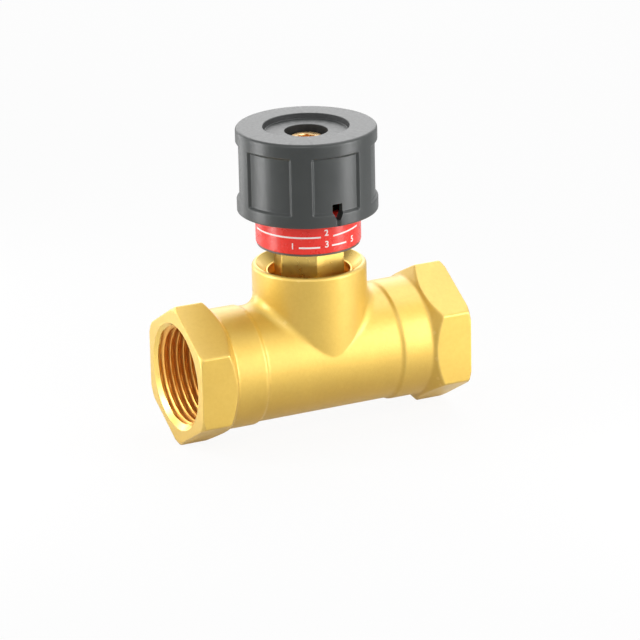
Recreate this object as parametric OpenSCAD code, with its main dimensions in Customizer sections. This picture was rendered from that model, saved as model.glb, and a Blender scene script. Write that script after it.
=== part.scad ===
// Differential pressure control valve for a three-quarter inch pipe.
// The pipe runs along X from the inlet face at x = 0, the neck and the knob stand up along Z,
// and the side with the scale window faces -Y.

/* [Pipe line] */
// Length from the inlet face to the outlet face
face_to_face = 75; // [72:1:90]
// Radius of the barrel beside the neck
barrel_r = 14.8; // [14.6:0.1:15.2]
// Radius of the collar behind each end hexagon
collar_r = 15.3; // [15:0.1:15.8]
// Distance from the neck axis to the step between barrel and collar
collar_step_x = 19.2; // [18:0.2:24]
// Rise of the soft slope at that step, measured along the pipe
collar_step_len = 0.7; // [0.3:0.1:1.5]

/* [End hexagons] */
// Width of each end hexagon across its flats
end_hex_af = 32; // [31:0.5:36]
// Length of the ridges between the flats
end_ridge_len = 7.8; // [6:0.2:10]
// Length of the turned cone from the ridges down to the collar
end_cone_len = 2.5; // [1.5:0.1:3.5]
// How far each ridge is turned off below the full corner
ridge_trim = 0.08; // [0.02:0.02:0.4]
// Length of the turned chamfer from the ridges to the end face, along the pipe
end_chamfer_len = 1; // [0.6:0.1:2]
// How far the edge of that chamfer on the end face stays outside the flats
end_face_margin = 0.5; // [0.1:0.1:1]
// Radius of the end thread's crest
thread_r = 12.06; // [11.6:0.02:12.2]
// Depth of the thread from the end face
thread_depth = 16; // [13:0.5:18]
// Radius of the countersink where it meets the end face
mouth_r = 13.7; // [13:0.1:14.4]
// Depth of the countersink
mouth_depth = 1.3; // [0.8:0.1:2]

/* [Waterway] */
// Radius of the passage between the threads
passage_r = 10.6; // [10:0.1:11.2]
// Thickness of the seat plate
seat_plate_t = 3; // [2:0.2:4]
// Radius of the hole in the seat plate
orifice_r = 6; // [5:0.2:6.4]
// Height of the raised lip round that hole
seat_lip_h = 1.3; // [0.8:0.1:1.8]
// Width of the lip's top
seat_lip_w = 0.9; // [0.6:0.1:1.4]
// Thickness of the walls that close each half of the passage, along the pipe
web_t = 2.4; // [1.6:0.1:3]
// How far those walls lean over their height
web_lean = 3; // [1:0.2:4]

/* [Neck] */
// Outer radius of the neck
neck_r = 14.45; // [14:0.05:14.6]
// Height of the neck's rim above the pipe axis
neck_top = 23.6; // [22.6:0.2:26]
// Rounding of the rim
rim_round = 1.2; // [0.5:0.1:1.6]
// Radius of the recess inside the rim
recess_r = 12.4; // [12.2:0.1:12.8]
// Depth of that recess
recess_depth = 4.7; // [4.2:0.1:4.9]
// Radius of the cast blend between neck and barrel
blend_r = 3; // [2.5:0.5:6]

/* [Bonnet] */
// Radius of the bonnet's shank in the neck
shank_r = 9.4; // [8.8:0.1:9.8]
// Radius of the flange that rests in the recess
flange_r = 12.1; // [11:0.1:12.2]
// Thickness of the flange
flange_t = 1.6; // [1:0.1:1.8]
// Width of the bonnet's hexagon across its flats
bonnet_hex_af = 16; // [15:0.5:18]
// Height of the hexagon
bonnet_hex_h = 9.15; // [8.5:0.05:10.5]
// How far the hexagon is turned from having a corner at the front
bonnet_hex_turn = -13; // [-30:1:30]
// Radius of the spigot above the hexagon
spigot_r = 7.2; // [7:0.1:7.4]
// Height of the spigot above the hexagon
spigot_h = 9.75; // [9.6:0.05:11]
// Radius of the spring chamber inside the bonnet
chamber_r = 6.2; // [6:0.05:6.4]
// Thickness of the roof over that chamber, up to the top of the hexagon
chamber_roof = 1.25; // [1:0.05:2]
// Thickness of the seal ring round the shank
shank_seal_d = 1.6; // [1.4:0.1:1.8]
// Distance from the flange down to that seal's groove
shank_seal_drop = 1.2; // [0.8:0.1:2]

/* [Spindle] */
// Radius of the spindle's stem
stem_r = 4; // [3.6:0.1:4.2]
// Radius of the collar that stops the spindle under the roof
stem_collar_r = 5.4; // [5:0.1:5.8]
// Thickness of that collar
stem_collar_t = 1.4; // [1:0.1:2]
// Radius of the pilot under the collar
pilot_r = 2.5; // [2:0.1:2.8]
// Length of the pilot
pilot_len = 3.6; // [2.5:0.1:4]
// Thickness of the spindle's seal rings
stem_seal_d = 1.5; // [1.4:0.05:1.6]
// Thickness of the flat ring behind the upper seal
backup_t = 0.6; // [0.4:0.1:0.7]
// Land above the upper seal
top_land = 0.7; // [0.6:0.05:1]
// Land between the two seal grooves
mid_land = 1.2; // [1.2:0.05:1.4]
// Outer radius of the serrations that drive the knob
serration_r = 3.7; // [3.3:0.05:3.8]
// Depth of the serrations
serration_depth = 0.45; // [0.2:0.05:0.6]
// Number of serrations
serration_count = 18; // [12:1:24]

/* [Travel] */
// Rise of the spindle in one turn
thread_lead = 2.5; // [2:0.1:2.6]
// Turns from the shown setting down to the highest pressure
turns_down = 3; // [1:0.5:3]
// Turns from the shown setting up to the stop
turns_up = 0.5; // [0.25:0.25:1]
// Lift of the plug from its seat
plug_lift = 3; // [1:0.2:3.2]

/* [Scale] */
// How far the ring under the scale stays inside the scale's outer radius
base_ring_inset = 0.25; // [0.1:0.05:1]
// Thickness of that ring
base_ring_t = 0.6; // [0.4:0.1:1]
// Outer radius of the scale ring
scale_r = 13.25; // [12.5:0.05:14]
// Wall of the scale ring
scale_wall = 1.25; // [0.8:0.05:1.6]
// Height of the scale ring
scale_h = 10.55; // [8:0.05:11]
// Thickness of the scale ring's floor
scale_floor_t = 1.5; // [1:0.1:2]
// Outer radius of the scale ring's hub
scale_hub_r = 9; // [8.8:0.1:10]
// Thickness of the ribs between hub and wall
scale_rib_t = 1.2; // [0.8:0.1:2]
// Height of those ribs above the floor
scale_rib_h = 2.2; // [1:0.1:3]
// Number of those ribs
scale_rib_count = 6; // [3:1:8]
// Thickness of the clip that keeps the scale ring on the spigot
clip_t = 0.7; // [0.5:0.05:0.8]
// Outer radius of the clip
clip_r = 8.6; // [8:0.1:8.8]
// Depth of the clip's groove in the spigot
clip_groove_depth = 0.6; // [0.3:0.05:0.8]
// Angle that the clip's gap leaves open
clip_gap_angle = 60; // [30:5:90]

/* [Knob] */
// Gap between the scale ring and the knob's skirt
scale_gap = 1.95; // [1:0.05:3]
// Height of the knob
knob_h = 21.5; // [20:0.1:24]
// How far the knob's skirt covers the scale ring in the shown setting
knob_cover = 2.5; // [1.5:0.1:2.6]
// Wall of the skirt at the ribs
skirt_wall = 2.5; // [2:0.1:3]
// Rounding of the knob's top edge
knob_top_round = 1; // [0.5:0.1:2]
// Rounding of the skirt's lower edge
knob_bottom_round = 0.4; // [0.2:0.1:0.8]
// Number of sunk panels round the knob
panel_count = 6; // [4:1:8]
// Angle that each panel spans
panel_angle = 41.5; // [30:0.5:43]
// Depth of the panels
panel_depth = 0.7; // [0.3:0.1:0.9]
// Width of the slope at each panel's sides
panel_slope = 0.7; // [0.2:0.05:1]
// Distance from the knob's lower edge up to the panels
panel_low = 3.4; // [2.5:0.1:4]
// Distance from the knob's top face down to the panels
panel_high = 3.8; // [3:0.1:5]
// Radius of the recess in the top face, at its rim
top_recess_r = 10.9; // [9:0.1:13]
// How much narrower the recess is at its floor
top_recess_taper = 0.5; // [0.1:0.1:1]
// Depth of that recess
top_recess_depth = 1.3; // [0.8:0.1:2]
// Thickness of the knob's top under the recess
top_t = 2; // [1.5:0.1:3]
// Radius of the well that holds the knob's screw
well_r = 5.4; // [5.3:0.1:6]
// Depth of the well from the top face
well_depth = 6.4; // [5.8:0.1:7]
// Wall of the hub round the well
hub_wall = 1.7; // [1:0.1:2]
// Thickness of the ribs inside the knob
knob_rib_t = 1.4; // [1:0.1:2]
// Height of the ribs inside the knob
knob_rib_h = 6.4; // [4:0.1:7]
// Width of the scale window
window_w = 2.7; // [2:0.1:4]
// Height of the scale window
window_h = 4.15; // [3:0.05:5]
// Height of the window's lower part, which narrows towards the pointer groove
window_taper = 2; // [0.5:0.1:2.5]
// Width of the window at its lower end
window_low_w = 0.8; // [0.4:0.1:2]
// Distance from the knob's lower edge up to the window
window_low = 1.5; // [1.2:0.1:2.5]
// Width of the pointer groove under the window
pointer_w = 1.3; // [0.6:0.1:2]
// Depth of the pointer groove
pointer_depth = 0.5; // [0.2:0.1:0.8]

/* [Knob screw] */
// Radius of the screw's head
knob_screw_head_r = 4; // [3.4:0.1:4.6]
// Height of the head
knob_screw_head_h = 2.8; // [2:0.1:3.4]
// Rounding of the head's edge
knob_screw_round = 0.3; // [0.1:0.1:0.6]
// Width of the hexagon socket across its flats
knob_screw_socket_af = 4; // [3:0.5:5]
// Depth of the hexagon socket
knob_screw_socket_depth = 1.8; // [1:0.1:2]
// Radius of the screw's shank
knob_screw_r = 1.9; // [1.4:0.1:2]
// Length of the shank under the washer
knob_screw_len = 7.5; // [5:0.5:9]
// Outer radius of the washer under the head
knob_washer_r = 5.1; // [4.6:0.1:5.4]
// Thickness of that washer
knob_washer_t = 0.8; // [0.5:0.1:1]

/* [Spring and its carrier] */
// Thickness of the thrust washer under the spindle's collar
thrust_washer_t = 0.6; // [0.4:0.1:1]
// Outer radius of the thrust washer
thrust_washer_r = 5.4; // [4.6:0.1:5.8]
// Thickness of the carrier's flange
carrier_t = 1.5; // [1:0.1:2]
// Radius of the carrier's boss inside the spring
carrier_boss_r = 3.3; // [3.2:0.05:3.7]
// Floor of the carrier's socket under the pilot
carrier_floor = 0.8; // [0.6:0.1:1.5]
// Mean radius of the spring
spring_r = 4.6; // [4.5:0.05:4.8]
// Thickness of the spring's wire
spring_wire_d = 0.8; // [0.6:0.05:0.9]
// Number of turns of the spring
spring_turns = 7; // [5:0.5:8]

/* [Plug] */
// Outer radius of the plug's holder
plug_r = 8.3; // [8.2:0.05:8.7]
// Outer radius of the soft disc
disc_r = 7.6; // [7.4:0.05:7.8]
// Thickness of the soft disc
disc_t = 2.2; // [1.8:0.1:3]
// Height of the holder's rim round the disc
plug_rim_h = 1.1; // [0.5:0.1:1.3]
// Thickness of the holder's floor
plug_floor_t = 2; // [1.5:0.1:3]
// Height of the skirt that guides the plug in the bonnet
plug_skirt_h = 5.8; // [5:0.1:5.8]
// Wall of that skirt
plug_skirt_wall = 0.7; // [0.5:0.05:0.75]
// Radius of the boss inside the spring
plug_boss_r = 3; // [2.4:0.1:3.6]
// Height of that boss
plug_boss_h = 2.4; // [1:0.1:2.6]
// Radius of the disc screw's shank
disc_screw_r = 1.45; // [1:0.05:1.6]
// Length of that shank
disc_screw_len = 5.8; // [4.5:0.1:6]
// Radius of the disc screw's head
disc_screw_head_r = 2.6; // [2.2:0.1:3]
// Height of the disc screw's head
disc_screw_head_h = 1.5; // [1:0.1:2]
// Width of the slot in the head
disc_screw_slot_w = 0.7; // [0.5:0.1:1]
// Depth of that slot
disc_screw_slot_depth = 0.7; // [0.4:0.1:0.8]
// Outer radius of the washer that holds the disc
disc_washer_r = 4.4; // [3.6:0.1:4.8]
// Thickness of that washer
disc_washer_t = 0.5; // [0.4:0.1:0.8]

/* [Hidden] */
$fn = 96;

// Clearances
cut = 0.5;          // overrun of every cut past the face that it opens
slide_gap = 0.05;   // radial clearance of a piece that turns or slides in a bore
fit_gap = 0.05;     // clearance of a piece that stays in its seat
stop_gap = 0.05;    // gap left at the end of a travel
clear_gap = 0.3;    // gap between pieces that pass each other
lift_gap = 0.1;     // gap left above the plug at full lift
guide_gap = 0.1;    // radial clearance of the guides in the spring chamber

// Places along the pipe, measured from the neck axis
neck_x = face_to_face / 2;
ridge_in_x = neck_x - end_ridge_len;
cone_in_x = ridge_in_x - end_cone_len;
end_hex_r = end_hex_af / 2 / cos(30);
ridge_r = end_hex_r - ridge_trim;
end_face_r = end_hex_af / 2 + end_face_margin;

// Heights above the pipe axis, from the seat up to the bonnet
plate_top = seat_plate_t / 2;
seat_z = plate_top + seat_lip_h;
holder_z = seat_z + disc_t;
plug_top = holder_z + plug_floor_t;
skirt_top = plug_top + plug_skirt_h;
bonnet_low = plug_top + plug_lift + lift_gap;
flange_z = neck_top - recess_depth;
bonnet_hex_z = flange_z + flange_t;
bonnet_hex_top = bonnet_hex_z + bonnet_hex_h;
chamber_top = bonnet_hex_top - chamber_roof;
spigot_top = bonnet_hex_top + spigot_h;
bonnet_bore_r = shank_r + fit_gap;
stem_bore_r = stem_r + slide_gap;
shank_groove_w = shank_seal_d + 2 * fit_gap;
shank_groove_top = flange_z - shank_seal_drop;
shank_groove_r = shank_r - shank_seal_d;

// Seal grooves round the spindle, from the top of the spigot down
stem_groove_r = stem_bore_r + stem_seal_d + fit_gap;
upper_groove_top = spigot_top - top_land;
upper_groove_z = upper_groove_top - stem_seal_d - backup_t - 3 * fit_gap;
lower_groove_top = upper_groove_z - mid_land;
lower_groove_z = lower_groove_top - stem_seal_d - 2 * fit_gap;
upper_seal_z = upper_groove_z + fit_gap + stem_seal_d / 2;
lower_seal_z = lower_groove_z + fit_gap + stem_seal_d / 2;
backup_z = upper_groove_z + stem_seal_d + 2 * fit_gap;

// Scale on the spigot
clip_groove_w = clip_t + 2 * fit_gap;
clip_groove_z = (lower_groove_top + upper_groove_z) / 2 - clip_groove_w / 2;
clip_groove_r = spigot_r - clip_groove_depth;
clip_z = clip_groove_z + fit_gap;
scale_z = bonnet_hex_top + base_ring_t;
scale_top = scale_z + scale_h;
scale_bore_r = spigot_r + fit_gap;
base_ring_r = scale_r - base_ring_inset;

// Travel of the spindle with its carrier, and the stack under its collar
travel_down = turns_down * thread_lead;
travel_up = turns_up * thread_lead;
collar_top = chamber_top - travel_up - stop_gap;
collar_z = collar_top - stem_collar_t;
thrust_washer_z = collar_z - thrust_washer_t;
carrier_z = thrust_washer_z - carrier_t;
pilot_z = collar_z - pilot_len;
socket_z = pilot_z - stop_gap;
carrier_low = socket_z - carrier_floor;
spring_low = plug_top + spring_wire_d / 2 + stop_gap;
spring_high = carrier_z - spring_wire_d / 2 - stop_gap;

// Knob
knob_z = scale_top - knob_cover;
knob_top = knob_z + knob_h;
skirt_r = scale_r + scale_gap;
knob_r = skirt_r + skirt_wall;
panel_r = knob_r - panel_depth;
recess_z = knob_top - top_recess_depth;
knob_roof_z = recess_z - top_t;
hub_r = well_r + hub_wall;
hub_z = spigot_top + travel_down + clear_gap;
well_z = knob_top - well_depth;
stem_top = well_z - clear_gap;
knob_screw_head_z = well_z + knob_washer_t;

// Coil of the spring: rings to a turn and sides to a ring
coil_rings = 8;
coil_sides = 6;

// Loft of the cast blend: steps round the neck and points on the arc of each ring
blend_steps = 21;
blend_points = 7;
// Half of the angle that the blend spans round the neck, and the share of it at each end
// over which the blend sinks into the walls
blend_reach = 66;
blend_fade = 14;
// Depth of its ends in the walls, depth of its edges in them, and the height over them at
// which its arc begins
blend_sink = 0.5;
blend_bury = 0.6;
blend_edge = 0.1;

// Helpers

// Rectangle between two corners of a half section
module rect(r0, r1, z0, z1) {
    translate([r0, z0])
        square([r1 - r0, z1 - z0]);
}

// Cuts a rounding off the corner at (x, y), where the outside lies towards (sx, sy)
module corner_cut(x, y, r, sx, sy) {
    translate([x, y])
        scale_sign(sx, sy)
            difference() {
                translate([-r, -r])
                    square(r + cut);
                translate([-r, -r])
                    circle(r);
            }
}

// Mirrors a corner cutter towards the side that is asked for
module scale_sign(sx, sy) {
    mirror([sx < 0 ? 1 : 0, 0])
        mirror([0, sy < 0 ? 1 : 0])
            children();
}

// Turns a half section of (radius, distance) round the pipe axis, with distance along +X
module turn_x() {
    rotate([0, 90, 0])
        rotate_extrude()
            children();
}

// Round bar along the pipe axis from x0 to x1
module bar_x(r, x0, x1) {
    translate([x0, 0, 0])
        rotate([0, 90, 0])
            cylinder(r = r, h = x1 - x0);
}

// Flat ring round the neck axis
module ring(r_in, r_out, z0, z1) {
    rotate_extrude()
        rect(r_in, r_out, z0, z1);
}

// Ring of round section round the neck axis
module seal_ring(r_in, d, z) {
    rotate_extrude()
        translate([r_in + d / 2, z])
            circle(d / 2);
}

// Puts the neck axis in its place along the pipe
module at_neck() {
    translate([neck_x, 0, 0])
        children();
}

// Draws the children at the outlet end and mirrored at the inlet end
module both_ends() {
    for (side = [0, 1])
        mirror([side, 0, 0])
            children();
}

// Body

// One end hexagon, turned to a cone towards its collar and chamfered at its face
module end_hexagon() {
    intersection() {
        translate([cone_in_x, 0, 0])
            rotate([0, 90, 0])
                cylinder(r = end_hex_r, h = neck_x - cone_in_x, $fn = 6);
        turn_x()
            polygon([[0, cone_in_x], [collar_r, cone_in_x], [ridge_r, ridge_in_x],
                     [ridge_r, neck_x - end_chamfer_len], [end_face_r, neck_x], [0, neck_x]]);
    }
}

// Barrel with a collar at each end, up to the hexagons
module barrel() {
    both_ends()
        turn_x()
            polygon([[0, 0], [barrel_r, 0], [barrel_r, collar_step_x - collar_step_len],
                     [collar_r, collar_step_x], [collar_r, cone_in_x + cut],
                     [0, cone_in_x + cut]]);
}

// Neck with its rounded rim
module neck() {
    rotate_extrude()
        difference() {
            rect(0, neck_r, 0, neck_top);
            corner_cut(neck_r, neck_top, rim_round, 1, 1);
        }
}

// Ring of the blend at angle a round the neck: the arc of a ball that rolls along both
// walls, closed by its two buried edges and a corner under the crease
function blend_ring(a) =
    let (
        y = (neck_r + blend_r) * sin(a),
        z = sqrt(pow(barrel_r + blend_r, 2) - pow(y, 2)),
        to_neck = [-cos(a), -sin(a), 0],
        to_barrel = [0, -y, -z] / (barrel_r + blend_r),
        middle = (to_neck + to_barrel) / norm(to_neck + to_barrel),
        open = acos(to_neck * to_barrel),
        start = acos(1 - blend_edge / blend_r),
        fade = max(0, abs(a) - blend_reach + blend_fade) / blend_fade,
        centre = [(neck_r + blend_r) * cos(a), y, z] + blend_sink * pow(fade, 2) * middle,
        edge = blend_r + blend_bury)
    concat(
        [centre + edge * to_neck],
        [for (i = [0 : blend_points - 1])
            let (b = start + (open - 2 * start) * i / (blend_points - 1))
            centre + blend_r * (sin(open - b) * to_neck + sin(b) * to_barrel) / sin(open)],
        [centre + edge * to_barrel,
         centre + (blend_r / cos(open / 2) + 2 * blend_bury) * middle]);

// Blend between the neck and the barrel on the outlet side, lofted through its rings
module neck_blend() {
    size = blend_points + 3;
    points = [for (k = [0 : blend_steps])
        for (p = blend_ring(blend_reach * (2 * k / blend_steps - 1))) p];
    sides = [for (k = [0 : blend_steps - 1]) for (i = [0 : size - 1])
        let (
            a = k * size + i,
            b = k * size + (i + 1) % size,
            c = b + size,
            d = a + size)
        for (face = [[a, c, b], [a, d, c]]) face];
    first = [for (i = [0 : size - 1]) i];
    last = [for (i = [size - 1 : -1 : 0]) blend_steps * size + i];
    polyhedron(points = points, faces = concat(sides, [first, last]), convexity = 6);
}

// Wall that parts the inlet half of the passage from the outlet half: a plate with the
// seat's lip, and a leaning web at each end of it
module partition() {
    reach = bonnet_bore_r;
    half = [[-reach, -plate_top], [-reach - web_t, -plate_top],
            [-reach - web_t - web_lean, passage_r], [-reach - web_lean, passage_r],
            [-reach, plate_top]];
    rotate([90, 0, 0])
        linear_extrude(2 * passage_r + 2 * cut, center = true)
            polygon(concat(half, [for (p = half) -p]));
    ring(0, orifice_r + seat_lip_w, plate_top - cut, seat_z);
}

// Water space between the two threads, less the partition
module waterway() {
    difference() {
        union() {
            bar_x(passage_r, -neck_x + thread_depth - cut, neck_x - thread_depth + cut);
            cylinder(r = bonnet_bore_r, h = neck_top);
        }
        partition();
    }
}

// Thread bore of one end, with its countersink
module end_bore() {
    turn_x()
        polygon([[0, neck_x - thread_depth], [thread_r, neck_x - thread_depth],
                 [thread_r, neck_x - mouth_depth], [mouth_r, neck_x],
                 [mouth_r, neck_x + cut], [0, neck_x + cut]]);
}

module valve_body() {
    color("goldenrod")
        at_neck()
            difference() {
                union() {
                    barrel();
                    neck();
                    both_ends() {
                        end_hexagon();
                        neck_blend();
                    }
                }
                waterway();
                both_ends()
                    end_bore();
                translate([0, 0, -seat_plate_t])
                    cylinder(r = orifice_r, h = seat_plate_t + seat_z + cut);
                translate([0, 0, flange_z])
                    cylinder(r = recess_r, h = recess_depth + cut);
            }
}

// Bonnet and its seals

// Hexagon of the bonnet, its foot in the flange and its corners turned off at the top
module bonnet_hexagon() {
    hex_r = bonnet_hex_af / 2 / cos(30);
    corner = hex_r - bonnet_hex_af / 2;
    intersection() {
        translate([0, 0, flange_z])
            rotate([0, 0, bonnet_hex_turn - 90])
                cylinder(r = hex_r, h = bonnet_hex_top - flange_z, $fn = 6);
        rotate_extrude()
            polygon([[0, flange_z], [hex_r + corner, flange_z],
                     [hex_r + corner, bonnet_hex_top - corner],
                     [hex_r - corner, bonnet_hex_top], [0, bonnet_hex_top]]);
    }
}

module bonnet() {
    color("gold")
        at_neck()
            difference() {
                union() {
                    rotate_extrude() {
                        rect(0, shank_r, bonnet_low, bonnet_hex_z);
                        rect(0, flange_r, flange_z, bonnet_hex_z);
                        rect(0, spigot_r, bonnet_low, spigot_top);
                    }
                    bonnet_hexagon();
                }
                rotate_extrude() {
                    rect(0, chamber_r, bonnet_low - cut, chamber_top);
                    rect(0, stem_bore_r, bonnet_low, spigot_top + cut);
                    rect(0, stem_groove_r, lower_groove_z, lower_groove_top);
                    rect(0, stem_groove_r, upper_groove_z, upper_groove_top);
                }
                ring(shank_groove_r, shank_r + cut,
                     shank_groove_top - shank_groove_w, shank_groove_top);
                ring(clip_groove_r, spigot_r + cut,
                     clip_groove_z, clip_groove_z + clip_groove_w);
            }
}

module bonnet_seal() {
    color("black")
        at_neck()
            seal_ring(shank_groove_r, shank_seal_d, shank_groove_top - shank_groove_w / 2);
}

module spindle_seal_lower() {
    color("black")
        at_neck()
            seal_ring(stem_bore_r, stem_seal_d, lower_seal_z);
}

module spindle_seal_upper() {
    color("black")
        at_neck()
            seal_ring(stem_bore_r, stem_seal_d, upper_seal_z);
}

module spindle_backup_ring() {
    color("white")
        at_neck()
            ring(stem_bore_r, stem_groove_r - fit_gap, backup_z, backup_z + backup_t);
}

// Scale

module scale_base_ring() {
    color("dimgray")
        at_neck()
            ring(scale_bore_r, base_ring_r, bonnet_hex_top, scale_z);
}

module scale_ring() {
    inner_r = scale_r - scale_wall;
    floor_top = scale_z + scale_floor_t;
    color("red")
        at_neck() {
            rotate_extrude() {
                rect(scale_bore_r, scale_r, scale_z, floor_top);
                rect(scale_bore_r, scale_hub_r, scale_z, clip_groove_z);
                rect(inner_r, scale_r, scale_z, scale_top);
            }
            for (i = [0 : scale_rib_count - 1])
                rotate([0, 0, 360 * i / scale_rib_count])
                    translate([scale_hub_r - scale_wall / 2, -scale_rib_t / 2, floor_top - cut])
                        cube([inner_r - scale_hub_r + scale_wall, scale_rib_t,
                              scale_rib_h + cut]);
        }
}

// Open spring clip with its gap at the back
module scale_ring_clip() {
    color("silver")
        at_neck()
            rotate([0, 0, 90 + clip_gap_angle / 2])
                rotate_extrude(angle = 360 - clip_gap_angle)
                    rect(clip_groove_r + fit_gap, clip_r, clip_z, clip_z + clip_t);
}

// Spring and its carrier

module thrust_washer() {
    color("silver")
        at_neck()
            ring(pilot_r + slide_gap, thrust_washer_r, thrust_washer_z, collar_z);
}

module spring_carrier() {
    color("gold")
        at_neck()
            rotate_extrude()
                difference() {
                    union() {
                        rect(0, chamber_r - guide_gap, carrier_z, thrust_washer_z);
                        rect(0, carrier_boss_r, carrier_low, thrust_washer_z);
                    }
                    rect(0, pilot_r + slide_gap, socket_z, thrust_washer_z + cut);
                }
}

// Point on the spring's wire: turn is its place along the coil, side its place round the wire
function wire_point(turn, side) =
    let (
        a = 360 * turn,
        b = 360 * side / coil_sides,
        r = spring_r + spring_wire_d / 2 * cos(b),
        z = spring_low + (spring_high - spring_low) * turn / spring_turns)
    [r * cos(a), r * sin(a), z + spring_wire_d / 2 * sin(b)];

module spring() {
    rings = spring_turns * coil_rings;
    points = [for (k = [0 : rings]) for (i = [0 : coil_sides - 1])
        wire_point(k / coil_rings, i)];
    sides = [for (k = [0 : rings - 1]) for (i = [0 : coil_sides - 1])
        let (
            j = (i + 1) % coil_sides,
            a = k * coil_sides + i,
            b = k * coil_sides + j,
            c = b + coil_sides,
            d = a + coil_sides)
        for (face = [[a, c, b], [a, d, c]]) face];
    first = [for (i = [0 : coil_sides - 1]) i];
    last = [for (i = [coil_sides - 1 : -1 : 0]) rings * coil_sides + i];
    color("lightgray")
        at_neck()
            polyhedron(points = points, faces = concat(sides, [first, last]), convexity = 8);
}

// Spindle and knob

// Star outline of the serrations, larger all round by grow
module serration_outline(grow) {
    tip = serration_r + grow;
    root = tip - serration_depth;
    polygon([for (i = [0 : 2 * serration_count - 1])
        let (a = 180 * i / serration_count, r = i % 2 == 0 ? tip : root)
        [r * cos(a), r * sin(a)]]);
}

module spindle() {
    color("gold")
        at_neck()
            difference() {
                union() {
                    rotate_extrude() {
                        rect(0, pilot_r, pilot_z, hub_z);
                        rect(0, stem_collar_r, collar_z, collar_top);
                        rect(0, stem_r, collar_z, hub_z);
                    }
                    translate([0, 0, collar_top])
                        linear_extrude(stem_top - collar_top)
                            serration_outline(0);
                }
                ring(0, knob_screw_r + fit_gap, well_z - knob_screw_len - clear_gap,
                     stem_top + cut);
            }
}

// Wedge round the knob axis between two half planes, open by angle at the panel's floor
// and wider by the slope at the knob's outside
module panel_wedge(turn) {
    far = knob_r + panel_depth;
    slope_angle = atan(panel_slope / knob_r);
    low = panel_angle / 2 - slope_angle;
    high = panel_angle / 2 + slope_angle;
    rotate([0, 0, turn])
        linear_extrude(knob_top)
            polygon([[0, 0], [panel_r * cos(low), -panel_r * sin(low)],
                     [far * cos(high), -far * sin(high)],
                     [far / cos(high), 0],
                     [far * cos(high), far * sin(high)],
                     [panel_r * cos(low), panel_r * sin(low)]]);
}

// All the sunk panels, as one cutter
module knob_panels() {
    low = knob_z + panel_low;
    high = knob_top - panel_high;
    for (i = [0 : panel_count - 1])
        intersection() {
            rotate_extrude()
                polygon([[panel_r, low + panel_depth / 2], [knob_r, low - panel_depth / 2],
                         [knob_r + cut, low - panel_depth / 2],
                         [knob_r + cut, high + panel_depth / 2],
                         [knob_r, high + panel_depth / 2], [panel_r, high - panel_depth / 2]]);
            panel_wedge(360 * i / panel_count - 90);
        }
}

// Window in the skirt with the pointer groove under it
module knob_window() {
    low = knob_z + window_low;
    translate([0, -knob_r + skirt_wall + cut, 0])
        rotate([90, 0, 0])
            linear_extrude(skirt_wall + 2 * cut)
                polygon([[-window_low_w / 2, low], [window_low_w / 2, low],
                         [window_w / 2, low + window_taper], [window_w / 2, low + window_h],
                         [-window_w / 2, low + window_h], [-window_w / 2, low + window_taper]]);
    translate([0, 0, knob_z - cut])
        linear_extrude(window_low + 2 * cut)
            polygon([[-pointer_w / 2, -knob_r - cut], [pointer_w / 2, -knob_r - cut],
                     [pointer_w / 2, -knob_r], [0, -knob_r + pointer_depth],
                     [-pointer_w / 2, -knob_r]]);
}

// Half section of the recess in the knob's top face
module top_recess() {
    polygon([[0, recess_z], [top_recess_r - top_recess_taper, recess_z],
             [top_recess_r, knob_top], [top_recess_r, knob_top + cut], [0, knob_top + cut]]);
}

module knob() {
    color("dimgray")
        at_neck()
            difference() {
                union() {
                    rotate_extrude()
                        difference() {
                            union() {
                                rect(skirt_r, knob_r, knob_z, knob_top);
                                rect(0, knob_r, knob_roof_z, knob_top);
                                rect(0, hub_r, hub_z, knob_top);
                            }
                            corner_cut(knob_r, knob_top, knob_top_round, 1, 1);
                            corner_cut(knob_r, knob_z, knob_bottom_round, 1, -1);
                            top_recess();
                            rect(0, well_r, well_z, knob_top);
                        }
                    for (i = [0 : panel_count - 1])
                        rotate([0, 0, 360 * (i + 1 / 2) / panel_count - 90])
                            translate([hub_r - hub_wall / 2, -knob_rib_t / 2,
                                       knob_roof_z - knob_rib_h])
                                cube([skirt_r - hub_r + hub_wall, knob_rib_t,
                                      knob_rib_h + cut]);
                }
                knob_panels();
                knob_window();
                translate([0, 0, hub_z - cut])
                    linear_extrude(well_z - hub_z + 2 * cut)
                        serration_outline(fit_gap);
            }
}

module knob_washer() {
    color("silver")
        at_neck()
            ring(knob_screw_r + fit_gap, knob_washer_r, well_z, knob_screw_head_z);
}

module knob_screw() {
    head_top = knob_screw_head_z + knob_screw_head_h;
    color("peru")
        at_neck()
            difference() {
                rotate_extrude() {
                    rect(0, knob_screw_r, well_z - knob_screw_len, head_top - knob_screw_head_h);
                    difference() {
                        rect(0, knob_screw_head_r, knob_screw_head_z, head_top);
                        corner_cut(knob_screw_head_r, head_top, knob_screw_round, 1, 1);
                    }
                }
                translate([0, 0, head_top - knob_screw_socket_depth])
                    cylinder(r = knob_screw_socket_af / 2 / cos(30),
                             h = knob_screw_socket_depth + cut, $fn = 6);
            }
}

// Plug

module valve_plug() {
    skirt_out = chamber_r - guide_gap;
    color("gold")
        at_neck()
            rotate_extrude()
                difference() {
                    union() {
                        rect(0, plug_r, holder_z, plug_top);
                        rect(disc_r + fit_gap, plug_r, holder_z - plug_rim_h, plug_top);
                        rect(skirt_out - plug_skirt_wall, skirt_out, holder_z, skirt_top);
                        rect(0, plug_boss_r, holder_z, plug_top + plug_boss_h);
                    }
                    rect(0, disc_screw_r + fit_gap, holder_z - cut,
                         seat_z + disc_screw_len + clear_gap);
                }
}

module seat_disc() {
    color("black")
        at_neck()
            ring(disc_screw_r + fit_gap, disc_r, seat_z, holder_z);
}

module disc_washer() {
    color("silver")
        at_neck()
            ring(disc_screw_r + fit_gap, disc_washer_r, seat_z - disc_washer_t, seat_z);
}

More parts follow.
